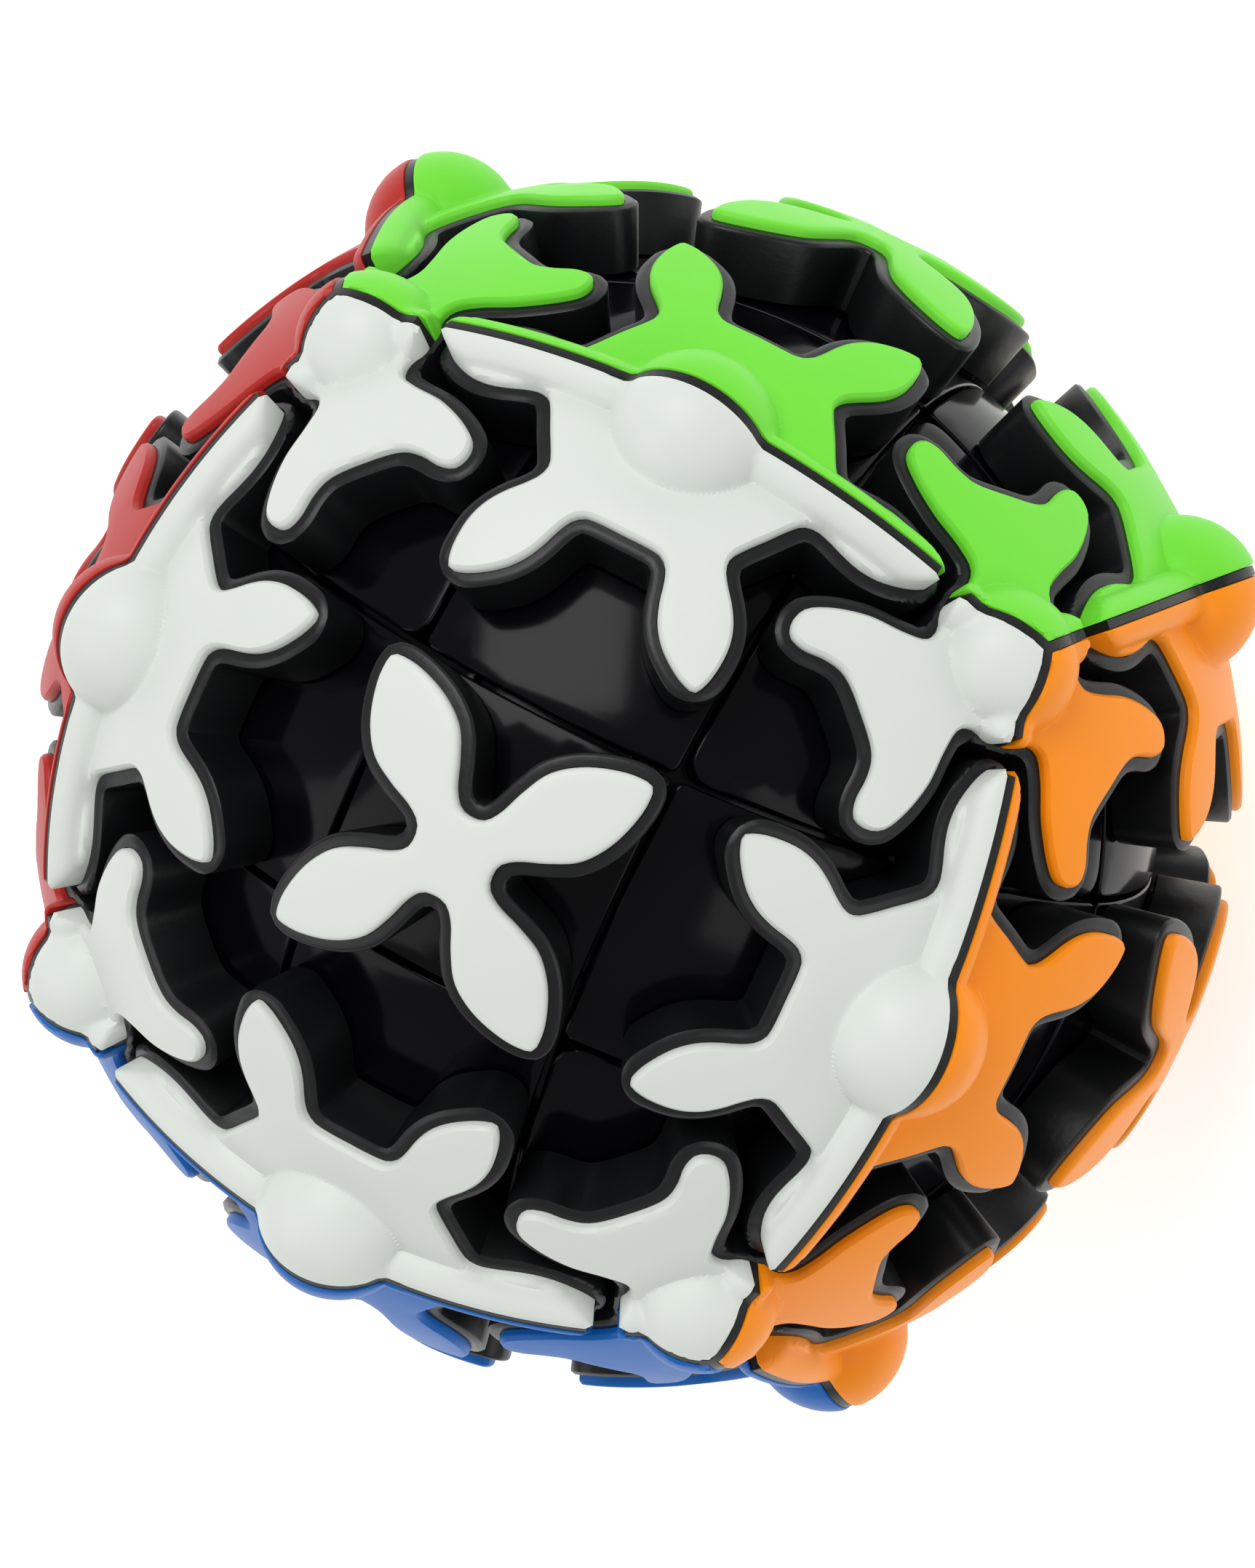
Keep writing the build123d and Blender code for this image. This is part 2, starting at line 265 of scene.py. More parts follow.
# ---------------------------------------------------------------- meshes between two radii
def regions(faces, fences):
    """Number for each triangle, the same for triangles that join up without crossing a fence."""
    sides = {}
    for number, face in enumerate(faces):
        for k in range(3):
            side = frozenset((int(face[k]), int(face[k - 1])))
            if side not in fences:
                sides.setdefault(side, []).append(number)
    beside = [[] for _ in faces]
    for pair in sides.values():
        if len(pair) == 2:
            beside[pair[0]].append(pair[1])
            beside[pair[1]].append(pair[0])
    found = np.full(len(faces), -1)
    for seed in range(len(faces)):
        waiting = [seed] if found[seed] < 0 else []
        while waiting:
            number = waiting.pop()
            if found[number] < 0:
                found[number] = seed
                waiting.extend(beside[number])
    return found


def triangles(points, loops):
    """Triangles over the points, inside the first loop and outside the other loops, which are holes."""
    edges = []
    start = 0
    for loop in loops:
        count = len(loop)
        edges += [(start + k, start + (k + 1) % count) for k in range(count)]
        start += count
    result = delaunay_2d_cdt([Vector(p) for p in points], edges, [], INSIDE, SAME_POINT)
    original = [olds[0] for olds in result[3]]
    faces = np.array([[original[v] for v in face] for face in result[2]])
    a, b, c = points[faces[:, 0]], points[faces[:, 1]], points[faces[:, 2]]
    turning = (b[:, 0] - a[:, 0]) * (c[:, 1] - a[:, 1]) - (b[:, 1] - a[:, 1]) * (c[:, 0] - a[:, 0])
    faces[turning < 0] = faces[turning < 0][:, ::-1]
    if len(loops) == 1:
        return faces
    numbers = regions(faces, {frozenset(edge) for edge in edges})
    kept = np.zeros(len(faces), bool)
    for number in np.unique(numbers):
        members = np.flatnonzero(numbers == number)
        largest = members[np.abs(turning[members]).argmax()]
        middle = points[faces[largest]].mean(0)[None]
        kept[members] = not any(inside(middle, hole)[0] for hole in loops[1:])
    return faces[kept]


def thinned(points, room):
    """Points in their order, less those that come too close to an earlier one."""
    kept = []
    cells = {}
    for point, space in zip(points, room):
        home = (math.floor(point[0]), math.floor(point[1]))
        near = [other for i in (-1, 0, 1) for j in (-1, 0, 1)
                for other in cells.get((home[0] + i, home[1] + j), [])]
        if all((point[0] - x) ** 2 + (point[1] - y) ** 2 > space ** 2 for x, y in near):
            kept.append(point)
            cells.setdefault(home, []).append((point[0], point[1]))
    return np.array(kept)


def filling(loop, holes, rings, grid, creases=None):
    """Points inside a loop: along creases, in rings that follow its edges, and an even grid between."""
    if creases is not None:
        free = inside(creases, loop) & (distance(creases, loop) > CREASE_ROOM)
        for hole in holes:
            free &= ~inside(creases, hole) & (distance(creases, hole) > CREASE_ROOM)
        others = filling(loop, holes, rings, grid)
        kept = thinned(creases[free], np.full(free.sum(), CREASE_APART))
        room = np.r_[np.zeros(len(kept)), np.full(len(others), FILL_APART)]
        return thinned(np.vstack([kept, others]), room)
    found = []
    for edge, side in [(loop, -1)] + [(hole, 1) for hole in holes]:
        for ring in rings:
            points = edge + side * ring * outward(edge)
            keep = inside(points, loop) & (distance(points, loop) > RING_KEPT * ring)
            for hole in holes:
                keep &= ~inside(points, hole) & (distance(points, hole) > RING_KEPT * ring)
            found.append(points[keep])
    low, high = loop.min(0), loop.max(0)
    rows = []
    for number, y in enumerate(np.arange(low[1], high[1], grid * ROW_HEIGHT)):
        shift = grid / 2 if number % 2 else 0
        rows += [(x + shift, y) for x in np.arange(low[0], high[0], grid)]
    points = np.array(rows)
    points = points[inside(points, loop)]
    reach = (rings[-1] if rings else 0) + GRID_ROOM * grid
    points = points[distance(points, loop) > reach]
    for hole in holes:
        points = points[~inside(points, hole)]
        points = points[distance(points, hole) > reach]
    found.append(points)
    return np.vstack(found)


class Shell:
    """Vertices and faces of closed shells, gathered piece by piece, with a look for each face."""

    def __init__(self):
        self.vertices = []
        self.faces = []
        self.finishes = []
        self.count = 0

    def add(self, places, faces, finish):
        self.vertices.append(np.asarray(places, float))
        self.faces += [tuple(int(v) + self.count for v in face) for face in faces]
        self.finishes += [finish] * len(faces)
        self.count += len(places)

    def merged(self, others):
        for other in others:
            self.add(np.vstack(other.vertices), [], FIRST)
            start = self.count - other.count
            self.faces += [tuple(v + start for v in face) for face in other.faces]
            self.finishes += other.finishes
        return self


def ribbon(shell, top, bottom, closed_out, finish):
    """Wall of quads between two rings of the same length."""
    count = len(top)
    quads = []
    for k in range(count):
        j = (k + 1) % count
        quad = (k, count + k, count + j, j)
        quads.append(quad if closed_out else quad[::-1])
    shell.add(np.vstack([top, bottom]), quads, finish)


def slab(axes, loop, top, bottom, rings, grid=GRID, holes=(), finish=FIRST, creases=None):
    """Closed solid over a loop. top gives a radius for each point; holes are (top, bottom) loops."""
    shell = Shell()
    tops = [hole[0] for hole in holes]
    points = np.vstack([loop] + tops + [filling(loop, tops, rings, grid, creases)])
    heights = top(points)
    places = lifted(points, heights, axes)
    shell.add(places, triangles(points, [loop] + tops), finish)
    start = len(loop)
    ribbon(shell, places[:start], lifted(loop, bottom, axes), True, finish)
    lows = []
    for hole_top, hole_bottom in holes:
        ring = places[start:start + len(hole_top)]
        ribbon(shell, ring, lifted(hole_bottom, bottom, axes), False, finish)
        start += len(hole_top)
        lows.append(hole_bottom)
    base = np.vstack([loop] + lows)
    faces = triangles(base, [loop] + lows)
    shell.add(lifted(base, bottom, axes), faces[:, ::-1], finish)
    return shell


def rounded(depth, radius):
    """How far a rounded edge lies below the surface at a depth in from the edge."""
    near = np.clip(radius - depth, 0, radius)
    return radius - np.sqrt(np.maximum(radius ** 2 - near ** 2, 0))


def rounded_top(loop, level, radius):
    return lambda points: level - rounded(distance(points, loop), radius)


RING_STEPS = (0.1, 0.3, 0.6, 1.0)


def rings_for(radius):
    return [radius * share for share in RING_STEPS]


# ---------------------------------------------------------------- tiles with domes and ridges
def blended(first, second):
    """The higher of two surfaces, with a small fillet where they meet."""
    near = np.maximum(BLEND - np.abs(first - second), 0) / BLEND
    return np.maximum(first, second) + near ** 2 * BLEND / 4


def crown(directions, axis, dome, seams, drop):
    """Radius of the top of a piece along each direction: ball, ridges and dome."""
    top = np.full(len(directions), R_TILE - drop)
    for normal in seams:
        sine = directions @ unit(normal)
        room = (RIDGE - drop) ** 2 - (R_RIDGE * sine) ** 2
        if len(seams) > 1:
            room = np.where(directions @ np.cross(normal, axis) > 0, room, -1)
        ridge = R_RIDGE * np.sqrt(1 - sine ** 2) + np.sqrt(np.maximum(room, 0))
        top = np.where(room > 0, blended(top, np.where(room > 0, ridge, 0)), top)
    reach, radius = dome
    if radius > 0:
        cosine = directions @ unit(axis)
        room = (radius - drop) ** 2 - reach ** 2 * (1 - cosine ** 2)
        bump = reach * cosine + np.sqrt(np.maximum(room, 0))
        top = np.where(room > 0, blended(top, np.where(room > 0, bump, 0)), top)
    return top


def crease_points(axes, dome, seams):
    """Points on the map that follow the foot of the dome and of each ridge, closely spaced across it."""
    found = []
    reach, radius = dome
    if radius > 0:
        foot = math.acos((R_TILE ** 2 + reach ** 2 - radius ** 2) / (2 * R_TILE * reach)) * R_TILE
        for step in CREASE_STEPS:
            count = round(2 * math.pi * (foot - step) / CREASE_SPACING)
            turns = np.linspace(0, 2 * math.pi, count, endpoint=False)
            found.append(np.column_stack([np.cos(turns), np.sin(turns)]) * (foot - step))
    half = math.sqrt(RIDGE ** 2 - (R_TILE - R_RIDGE) ** 2)
    for normal in seams:
        normal = unit(normal)
        along = np.arange(-SEAM_REACH, SEAM_REACH, CREASE_SPACING / R_TILE)
        seam = np.outer(np.cos(along), axes[2]) + np.outer(np.sin(along), np.cross(normal, axes[2]))
        for step in CREASE_STEPS:
            lean = (half - step) / R_TILE
            for side in (-1, 1):
                found.append(on_map(seam * math.cos(lean) + side * math.sin(lean) * normal, axes))
    return np.vstack(found) if found else None


def tile(axes, outline, cuts, dome, seams):
    """One coloured tile: the outline cut along the seams, with domes, ridges and rounded edges."""
    loop = outline - TILE_GAP * outward(outline)
    whole = loop
    for normal in cuts:
        loop = clipped(loop, normal, SEAM / 2 + TILE_GAP)
    loop = divided(loop)

    def top(points):
        raised = crown(lifted(points, 1.0, axes), axes[2], dome, seams, 0.0)
        drop = rounded(distance(points, whole), TILE_EDGE)
        for normal in cuts:
            drop = np.maximum(drop, rounded(points @ np.array(normal) - SEAM / 2 - TILE_GAP, SEAM_EDGE))
        return raised - drop

    return slab(axes, loop, top, R_SEAT, rings_for(TILE_EDGE), creases=crease_points(axes, dome, seams))


def toothed_plate(axes, outline, cuts_list, dome, seams):
    """The dark plate under the tiles: its rounded rim, the pockets, and the wall between colours."""
    tile_loop = outline[:, :2]
    rim_loop = evenly(tile_loop + outline[:, 2:] * outward(outline))
    pockets = []
    for cuts in cuts_list:
        pocket = tile_loop
        for normal in cuts:
            pocket = clipped(pocket, normal, SEAM / 2)
        pockets.append(divided(pocket))

    def top(points):
        level = R_RIM - rounded(distance(points, rim_loop), RIM_EDGE)
        if not seams:
            return level
        directions = lifted(points, 1.0, axes)
        off_seam = np.abs(directions @ np.array([unit(s) for s in seams]).T).min(1) * R_TILE
        fade = np.clip(distance(points, tile_loop) / WALL_FADE, 0, 1)
        fade = fade * inside(points, tile_loop) * (off_seam < WALL_REACH * SEAM)
        wall = crown(directions, axes[2], dome, seams, SEAM_DROP)
        return level + fade * np.maximum(wall - level, 0)

    shell = Shell()
    inner = filling(rim_loop, pockets, rings_for(RIM_EDGE), GRID, crease_points(axes, dome, seams))
    points = np.vstack([rim_loop] + pockets + [inner])
    places = lifted(points, top(points), axes)
    shell.add(places, triangles(points, [rim_loop] + pockets), FIRST)
    start = len(rim_loop)
    ribbon(shell, places[:start], lifted(rim_loop, R_PLATE, axes), True, FIRST)
    for pocket in pockets:
        ring = places[start:start + len(pocket)]
        start += len(pocket)
        low = lifted(pocket, R_SEAT, axes)
        ribbon(shell, ring, low, False, FIRST)
        shell.add(low, triangles(pocket, [pocket]), FIRST)
    shell.add(lifted(rim_loop, R_PLATE, axes), triangles(rim_loop, [rim_loop])[:, ::-1], FIRST)
    return shell


def pipe(axes, radius, bore, start, end):
    """Round sleeve along a piece's axis."""
    turns = np.linspace(0, 2 * math.pi, ROUND_SIDES, endpoint=False)
    circle = np.column_stack([np.cos(turns), np.sin(turns)])

    def ring(size, height):
        return np.column_stack([circle * size, np.full(ROUND_SIDES, height)]) @ axes

    shell = Shell()
    ribbon(shell, ring(radius, end), ring(radius, start), True, FLOOR)
    ribbon(shell, ring(bore, end), ring(bore, start), False, FLOOR)
    ribbon(shell, ring(bore, end), ring(radius, end), True, FLOOR)
    ribbon(shell, ring(radius, start), ring(bore, start), True, FLOOR)
    return shell


def circle_loop(radius, level):
    """A round hole of a true radius at a level, on the map of the tile surface."""
    size = math.asin(radius / level) * R_TILE
    turns = np.linspace(0, 2 * math.pi, ROUND_SIDES, endpoint=False)
    return np.column_stack([size * np.cos(turns), size * np.sin(turns)])


# ---------------------------------------------------------------- floor caps and feet
def softened(loop, radius):
    """Round the corners of an evenly divided loop by sliding a window along it."""
    reach = max(1, round(radius / STEP))
    total = sum(np.roll(loop, shift, 0) for shift in range(-reach, reach + 1))
    return total / (2 * reach + 1)


def cell_loop(axes, limits, level, softness):
    """Outline on the map of the region of a sphere between planes across X, Y and Z."""
    (x0, x1), (y0, y1), (z0, z1) = limits
    turns = np.linspace(0, 2 * math.pi, CELL_RAYS, endpoint=False)
    low, high = np.zeros(CELL_RAYS), np.full(CELL_RAYS, CELL_WIDEST)
    for _ in range(HALVINGS):
        middle = (low + high) / 2
        ray = np.column_stack([np.cos(turns) * np.sin(middle), np.sin(turns) * np.sin(middle),
                               np.cos(middle)]) @ axes * level
        within = ((ray[:, 0] > x0) & (ray[:, 0] < x1) & (ray[:, 1] > y0) & (ray[:, 1] < y1)
                  & (ray[:, 2] > z0) & (ray[:, 2] < z1))
        low = np.where(within, middle, low)
        high = np.where(within, high, middle)
    reach = low * R_TILE
    loop = np.column_stack([np.cos(turns) * reach, np.sin(turns) * reach])
    return softened(evenly(loop, STEP / 2), softness)[::2]


def cap(axes, limits, bottom, level, softness, holes=()):
    """Solid between two levels with radial walls, whose outline is that of a cell at the upper level."""
    loop = cell_loop(axes, limits, level, softness)
    return slab(axes, loop, rounded_top(loop, level, FLOOR_EDGE), bottom, rings_for(FLOOR_EDGE), CAP_GRID,
                holes, finish=FLOOR)


def neck(axes, loop):
    """Solid that joins a plate to its floor cap."""
    return slab(axes, loop, lambda points: np.full(len(points), R_PLATE + LAP), R_FLOOR - LAP, [], NECK_GRID,
                finish=FLOOR)


FAR = 99.0


def edge_limits(half_width, cut):
    return ((-half_width, half_width), (cut, FAR), (cut, FAR))


def edge_foot():
    """Floor cap of an edge, and the foot that runs under its neighbours, bored for the gear's sleeve."""
    def hole(radius, top, bottom):
        return [(circle_loop(radius, top), circle_loop(radius, bottom))]

    wide = edge_limits(CUT_CAP - GAP, CUT_CAP + GAP)
    middle = edge_limits(CUT_FOOT - GAP, CUT_CAP + GAP)
    narrow = edge_limits(CUT_FOOT - GAP, CUT_FOOT + GAP)
    sleeve = SLEEVE + BORE_PLAY
    screw = SCREW_HOLE + BORE_PLAY
    parts = []
    for limits, bottom, top, bore in [
            (wide, R_CAP, R_FLOOR, sleeve),
            (middle, R_FOOT - FOOT_LAP, R_CAP + FOOT_LAP, sleeve),
            (narrow, SLEEVE_END, R_FOOT, sleeve),
            (narrow, SLEEVE_END - SEAT_DEPTH, SLEEVE_END - SEAT_GAP, screw),
            (narrow, R_EDGE_FOOT, SLEEVE_END - SEAT_DEPTH, HEAD_BORE)]:
        parts.append(cap(EDGE_FRAME, limits, bottom, top, CELL_ROUND, hole(bore, top, bottom)))
    return Shell().merged(parts)


def gear():
    """Toothed plate of an edge with its sleeve, and its two half tiles: white side, then green side."""
    outline = evenly(smooth(closed_loop(TOOTH, 6)))
    seams = [(0, -1, 1)]
    # The sign of y on the white side of the seam, on the edge's map
    white_side = np.sign((EDGE_FRAME @ np.array([0, -1, 1]))[1])
    cuts_list = [[(0, white_side)], [(0, -white_side)]]
    plate = toothed_plate(EDGE_FRAME, outline, cuts_list, EDGE_DOME, seams)
    plate.merged([pipe(EDGE_FRAME, SLEEVE, SCREW_HOLE, SLEEVE_END, R_PLATE + LAP)])
    tiles = [tile(EDGE_FRAME, outline[:, :2], cuts, EDGE_DOME, seams) for cuts in cuts_list]
    return plate, tiles


def corner():
    """Corner body with its floor cap and foot, and its three tiles, the white one first."""
    outline = evenly(smooth(closed_loop(CORNER, 3)))
    seams = [(0, -1, 1), (1, 0, -1), (-1, 1, 0)]
    cuts_list = []
    for number in (0, 2, 1):
        turned = 2 * math.pi * number / 3
        sides = []
        for lean in (-math.pi / 6, math.pi / 6):
            sides.append((math.cos(turned + lean), math.sin(turned + lean)))
        cuts_list.append(sides)
    body = toothed_plate(CORNER_FRAME, outline, cuts_list, CORNER_DOME, seams)
    tiles = [tile(CORNER_FRAME, outline[:, :2], cuts, CORNER_DOME, seams) for cuts in cuts_list]
    outer = ((CUT_CAP + GAP, FAR),) * 3
    inner = ((CUT_FOOT + GAP, FAR),) * 3
    shrunk = outline[:, :2] - CORNER_NECK_IN * outward(outline)
    neck_limits = cell_loop(CORNER_FRAME, outer, R_PLATE, CORNER_ROUND)
    body.merged([
        neck(CORNER_FRAME, evenly(shrunk[inside(shrunk, neck_limits)])),
        cap(CORNER_FRAME, outer, R_CAP, R_FLOOR, CORNER_ROUND),
        cap(CORNER_FRAME, outer, R_FOOT - FOOT_LAP, R_CAP + FOOT_LAP, CORNER_ROUND),
        cap(CORNER_FRAME, inner, R_CORNER_FOOT, R_FOOT, CELL_ROUND),
    ])
    return body, tiles


def centre():
    """Centre body with its four-petal plate, floor cap and hollow stalk, and its tile."""
    outline = evenly(smooth(closed_loop(PETAL, 4)))
    body = toothed_plate(CENTRE_FRAME, outline, [[]], (0, 0), [])
    face = tile(CENTRE_FRAME, outline[:, :2], [], (0, 0), [])
    half = CUT_CAP - GAP
    limits = ((-half, half), (-half, half), (0, FAR))
    body.merged([
        neck(CENTRE_FRAME, evenly(outline[:, :2] - CENTRE_NECK_IN * outward(outline))),
        cap(CENTRE_FRAME, limits, R_CAP, R_FLOOR, CELL_ROUND),
        pipe(CENTRE_FRAME, STALK, STALK_BORE, STALK_BORE_END, R_CAP + LAP),
        pipe(CENTRE_FRAME, STALK, STALK_SEAT_HOLE, R_STALK, STALK_SEAT_TOP),
    ])
    return body, [face]


# ---------------------------------------------------------------- materials
SHADE_NOISE = (90, 4)
GLOSS_NOISE = (260, 6)
GLOSS_SPREAD = (0.82, 1.18)
SKIN_DETAIL = 3
SKIN_DEPTH = 0.00004


def plastic(name, colour, roughness, mottle, grain, relief, shine=0.5):
    """Moulded plastic: faint shade variation, uneven gloss, and a fine skin texture."""
    material = bpy.data.materials.new(name)
    material.use_nodes = True
    nodes, links = material.node_tree.nodes, material.node_tree.links
    shader = nodes["Principled BSDF"]
    shader.inputs["Specular IOR Level"].default_value = shine
    shader.inputs["IOR"].default_value = 1.5
    place = nodes.new("ShaderNodeTexCoord")

    def noise(scale, detail):
        node = nodes.new("ShaderNodeTexNoise")
        node.inputs["Scale"].default_value = scale
        node.inputs["Detail"].default_value = detail
        links.new(place.outputs["Object"], node.inputs["Vector"])
        return node

    shade = nodes.new("ShaderNodeMix")
    shade.data_type = "RGBA"
    shade.inputs["A"].default_value = (*[c * (1 - mottle) for c in colour], 1)
    shade.inputs["B"].default_value = (*[min(1, c * (1 + mottle)) for c in colour], 1)
    links.new(noise(*SHADE_NOISE).outputs["Fac"], shade.inputs["Factor"])
    links.new(shade.outputs["Result"], shader.inputs["Base Color"])

    gloss = nodes.new("ShaderNodeMapRange")
    gloss.inputs["To Min"].default_value = roughness * GLOSS_SPREAD[0]
    gloss.inputs["To Max"].default_value = roughness * GLOSS_SPREAD[1]
    links.new(noise(*GLOSS_NOISE).outputs["Fac"], gloss.inputs["Value"])
    links.new(gloss.outputs["Result"], shader.inputs["Roughness"])

    bump = nodes.new("ShaderNodeBump")
    bump.inputs["Strength"].default_value = relief
    bump.inputs["Distance"].default_value = SKIN_DEPTH
    links.new(noise(grain, SKIN_DETAIL).outputs["Fac"], bump.inputs["Height"])
    links.new(bump.outputs["Normal"], shader.inputs["Normal"])
    return material


def metal(name, colour, roughness):
    """Plated steel, with the same uneven gloss and fine skin as the plastic."""
    material = plastic(name, colour, roughness, mottle=0.08, grain=3000, relief=0.3)
    material.node_tree.nodes["Principled BSDF"].inputs["Metallic"].default_value = 1.0
    return material


SHADES = {
    "white": (0.61, 0.65, 0.605), "green": (0.15, 0.64, 0.035), "orange": (0.84, 0.245, 0.002),
    "red": (0.40, 0.018, 0.013), "blue": (0.001, 0.11, 0.42), "yellow": (0.90, 0.60, 0.01),
}
TILE_LOOKS = {name: plastic(name + "_tile_plastic", shade, 0.42, mottle=0.02, grain=2600, relief=0.10,
                            shine=0.22) for name, shade in SHADES.items()}
RIM_LOOK = plastic("rim_plastic", (0.0045, 0.005, 0.0055), 0.36, mottle=0.15, grain=2200, relief=0.35,
                   shine=0.3)
FLOOR_LOOK = plastic("floor_plastic", (0.0018, 0.0017, 0.0028), 0.13, mottle=0.15, grain=500, relief=0.12,
                     shine=0.1)
CORE_LOOK = plastic("core_nylon", (0.03, 0.03, 0.033), 0.5, mottle=0.1, grain=1500, relief=0.4)
STEEL_LOOK = metal("plated_steel", (0.55, 0.55, 0.57), 0.3)
SPRING_LOOK = metal("spring_wire", (0.40, 0.40, 0.42), 0.35)


# ---------------------------------------------------------------- placing by symmetry
def turn(axis, degrees):
    return np.array(Matrix.Rotation(math.radians(degrees), 3, axis))


def piece(name, node, body, shells_and_turns, looks):
    """Write shells, each turned to its own place, as one mesh that stands for a CAD node."""
    vertices, faces, finishes = [], [], []
    count = 0
    for shell, spin in shells_and_turns:
        places = np.vstack(shell.vertices) @ spin.T * MM
        vertices.append(places)
        faces += [tuple(v + count for v in face) for face in shell.faces]
        finishes += shell.finishes
        count += len(places)
    mesh = bpy.data.meshes.new(name)
    mesh.from_pydata(np.vstack(vertices).tolist(), [], faces)
    mesh.polygons.foreach_set("material_index", finishes)
    for look in looks:
        mesh.materials.append(look)
    thing = bpy.data.objects.new(name, mesh)
    bpy.context.scene.collection.objects.link(thing)
    tidy(mesh)
    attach(thing, body)
    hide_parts(node)
    return thing


def tidy(mesh):
    """Join the shells' shared edges and shade them smooth, with crisp edges kept."""
    work = bmesh.new()
    work.from_mesh(mesh)
    bmesh.ops.remove_doubles(work, verts=work.verts, dist=WELD)
    bmesh.ops.recalc_face_normals(work, faces=work.faces)
    for face in work.faces:
        face.smooth = True
    for edge in work.edges:
        if len(edge.link_faces) == 2 and edge.calc_face_angle() > CRISP:
            edge.smooth = False
    work.to_mesh(mesh)
    work.free()


def colour_of(shell, spin):
    """The side of the ball that a turned shell faces most."""
    middle = spin @ np.vstack(shell.vertices).mean(0)
    return max(COLOURS, key=lambda name: np.dot(middle, COLOURS[name]))


GEAR, GEAR_TILES = gear()
CORNER_BODY, CORNER_TILES = corner()
CENTRE_BODY, CENTRE_TILES = centre()
FOOT = edge_foot()
DARK = [RIM_LOOK, FLOOR_LOOK]


def outer_layer(layer, side):
    """Everything that turns with the top or the bottom layer."""
    body = layer + "_layer"
    flip = turn("X", 180) if layer == "lower" else np.eye(3)
    tiles = {side: [(CENTRE_TILES[0], flip)]}
    feet = []
    piece(side + "_centre_moulding", side + "_centre", body, [(CENTRE_BODY, flip)], DARK)
    for quarter in range(4):
        spin = turn("Z", 90 * quarter) @ flip
        for shell, own, ending in ((CORNER_BODY, CORNER_TILES, "_corner"), (GEAR, GEAR_TILES, "_gear")):
            names = sorted((colour_of(part, spin) for part in own), key=lambda name: name != side)
            node = "_".join(names) + ending
            piece(node + "_moulding", node, body, [(shell, spin)], DARK)
            for part in own:
                tiles.setdefault(colour_of(part, spin), []).append((part, spin))
        feet.append((FOOT, spin))
    piece(layer + "_edge_feet_moulding", layer + "_edge_feet", body, feet, DARK)
    for name, group in tiles.items():
        node = f"{layer}_{name}_tiles"
        piece(node + "_moulding", node, body, group, [TILE_LOOKS[name]])


def middle_slice():
    """The fixed slice: four centres, four feet, and a gear on each foot that turns by itself."""
    feet = []
    for quarter in range(4):
        spin = turn("Z", 90 * quarter) @ turn("X", -90)
        name = colour_of(CENTRE_TILES[0], spin)
        piece(name + "_centre_moulding", name + "_centre", "slice", [(CENTRE_BODY, spin)], DARK)
        piece(name + "_centre_tile_moulding", name + "_centre_tile", "slice", [(CENTRE_TILES[0], spin)],
              [TILE_LOOKS[name]])
        spin = turn("Z", 90 * quarter) @ turn("Y", 90)
        title = "_".join(sorted(colour_of(half, spin) for half in GEAR_TILES)) + "_gear"
        piece(title + "_moulding", title, title + "_body", [(GEAR, spin)], DARK)
        for half in GEAR_TILES:
            name = colour_of(half, spin)
            node = f"{title}_{name}_tile"
            piece(node + "_moulding", node, title + "_body", [(half, spin)], [TILE_LOOKS[name]])
        feet.append((FOOT, spin))
    piece("slice_edge_feet_moulding", "slice_edge_feet", "slice", feet, DARK)


def dress_metalwork():
    """The screws, springs and core keep their CAD shape and get their own finish."""
    for name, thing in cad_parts.items():
        look = None
        if name.endswith(("_screw", "_screws")):
            look = STEEL_LOOK
        elif name.endswith("_springs"):
            look = SPRING_LOOK
        elif name == "core":
            look = CORE_LOOK
        if look:
            thing.data.materials.clear()
            thing.data.materials.append(look)


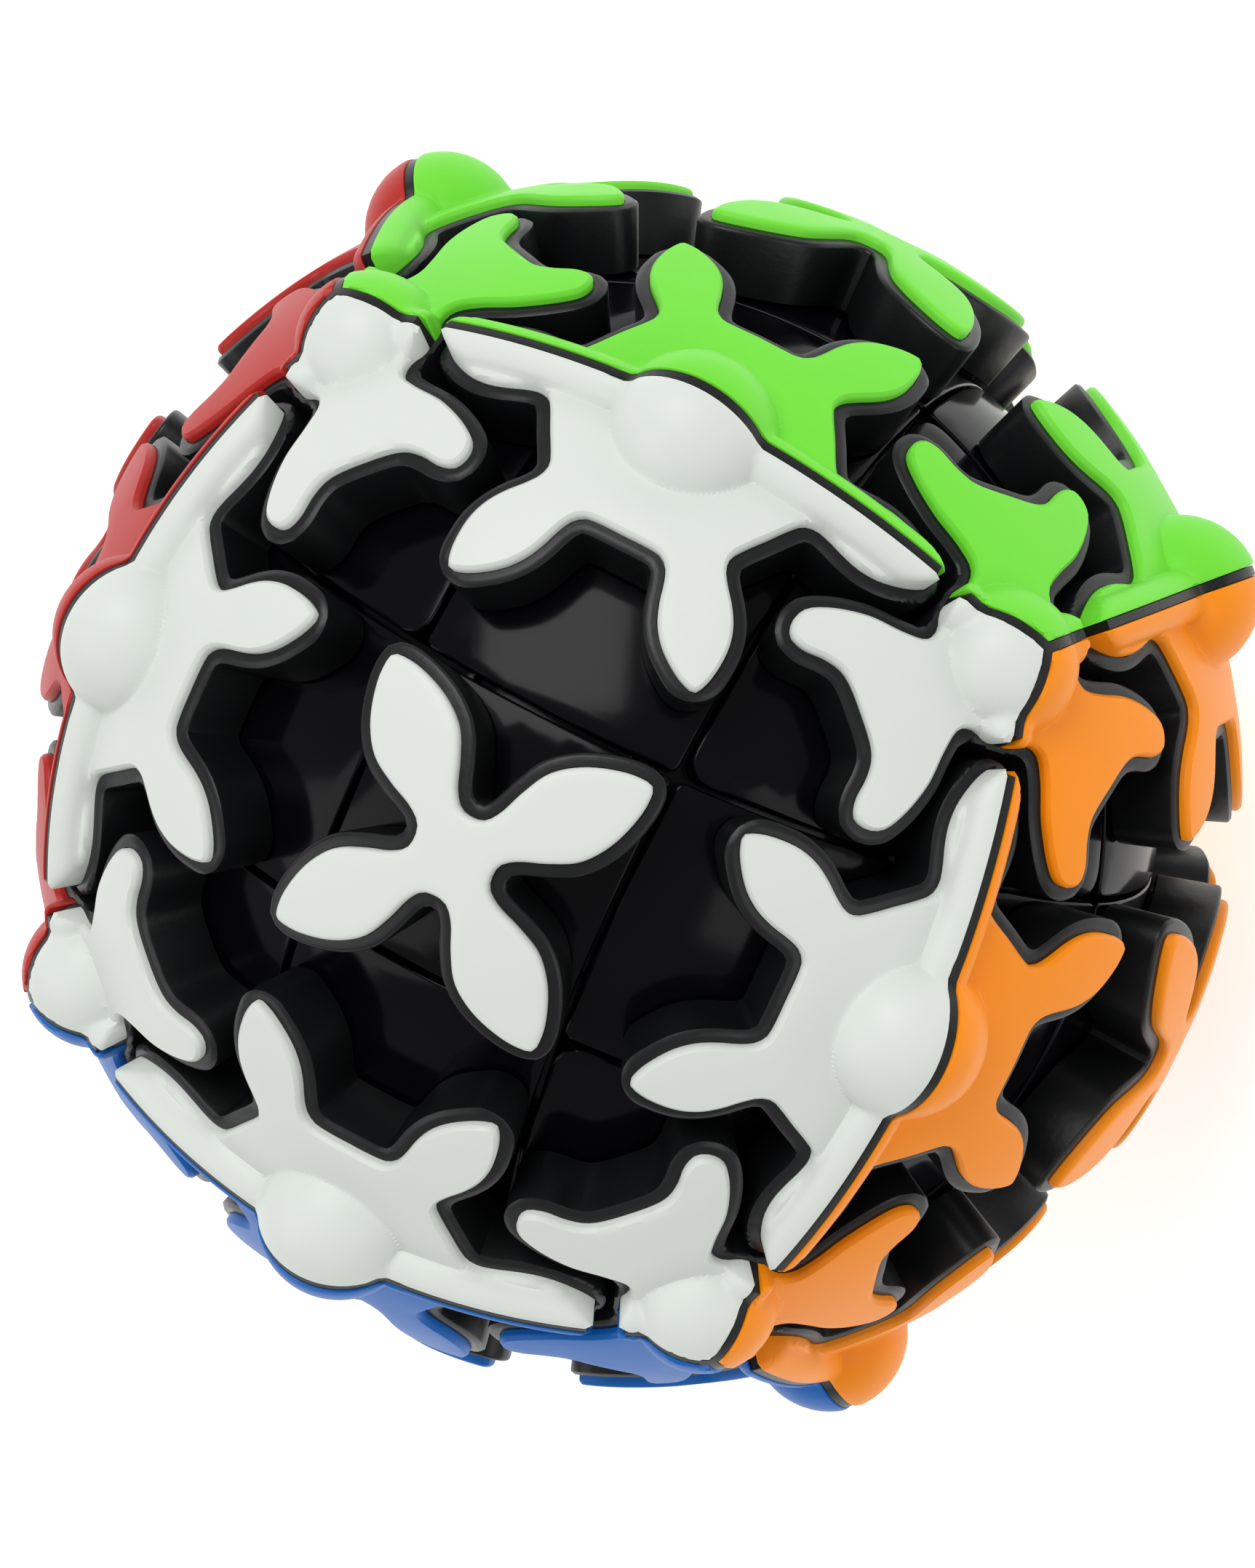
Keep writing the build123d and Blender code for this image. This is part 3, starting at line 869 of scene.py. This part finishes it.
# ---------------------------------------------------------------- stage, light and camera
def stage_floor():
    """A plain pale floor under the ball."""
    size = 3.0
    level = -R_TILE * MM
    spots = [(-size, -size, level), (size, -size, level), (size, size, level), (-size, size, level)]
    mesh = bpy.data.meshes.new("floor")
    mesh.from_pydata(spots, [], [(0, 1, 2, 3)])
    floor = bpy.data.objects.new("floor", mesh)
    bpy.context.scene.collection.objects.link(floor)
    look = bpy.data.materials.new("pale_floor")
    look.use_nodes = True
    shader = look.node_tree.nodes["Principled BSDF"]
    shader.inputs["Base Color"].default_value = (0.9, 0.9, 0.9, 1)
    shader.inputs["Roughness"].default_value = 0.8
    shader.inputs["Emission Color"].default_value = (1, 1, 1, 1)
    shader.inputs["Emission Strength"].default_value = 0.4
    mesh.materials.append(look)


def area_light(name, place, size, power):
    """Soft square light that faces the ball."""
    data = bpy.data.lights.new(name, "AREA")
    data.size = size
    data.energy = power
    light = bpy.data.objects.new(name, data)
    light.location = place
    light.rotation_euler = Vector(place).to_track_quat("Z", "Y").to_euler()
    bpy.context.scene.collection.objects.link(light)


def studio_light():
    world = bpy.data.worlds.new("studio")
    world.use_nodes = True
    background = world.node_tree.nodes["Background"]
    background.inputs["Color"].default_value = (1, 1, 1, 1)
    background.inputs["Strength"].default_value = 0.53
    bpy.context.scene.world = world
    area_light("key", (-0.9, 1.5, 2.4), 1.6, 48.0)
    area_light("fill", (2.2, 0.2, 1.7), 1.6, 16.0)
    area_light("low_fill", (-1.6, -1.5, 1.9), 1.8, 20.0)
    bpy.context.scene.view_settings.view_transform = "Standard"


CAMERA_PLACE = (71.8 * MM, 79.5 * MM, 339.3 * MM)
CAMERA_RIGHT = (0.87066, 0.40404, -0.28053)
CAMERA_UP = (-0.44803, 0.88681, -0.11327)
CAMERA_BACK = (0.20302, 0.22431, 0.95314)
LENS = 136.7


def camera():
    data = bpy.data.cameras.new("camera")
    data.sensor_width = 36
    data.lens = LENS
    data.clip_start = 0.01
    thing = bpy.data.objects.new("camera", data)
    columns = Matrix([CAMERA_RIGHT, CAMERA_UP, CAMERA_BACK]).transposed()
    thing.matrix_world = Matrix.Translation(CAMERA_PLACE) @ columns.to_4x4()
    bpy.context.scene.collection.objects.link(thing)
    bpy.context.scene.camera = thing


camera()
outer_layer("upper", "white")
outer_layer("lower", "yellow")
middle_slice()
dress_metalwork()
stage_floor()
studio_light()
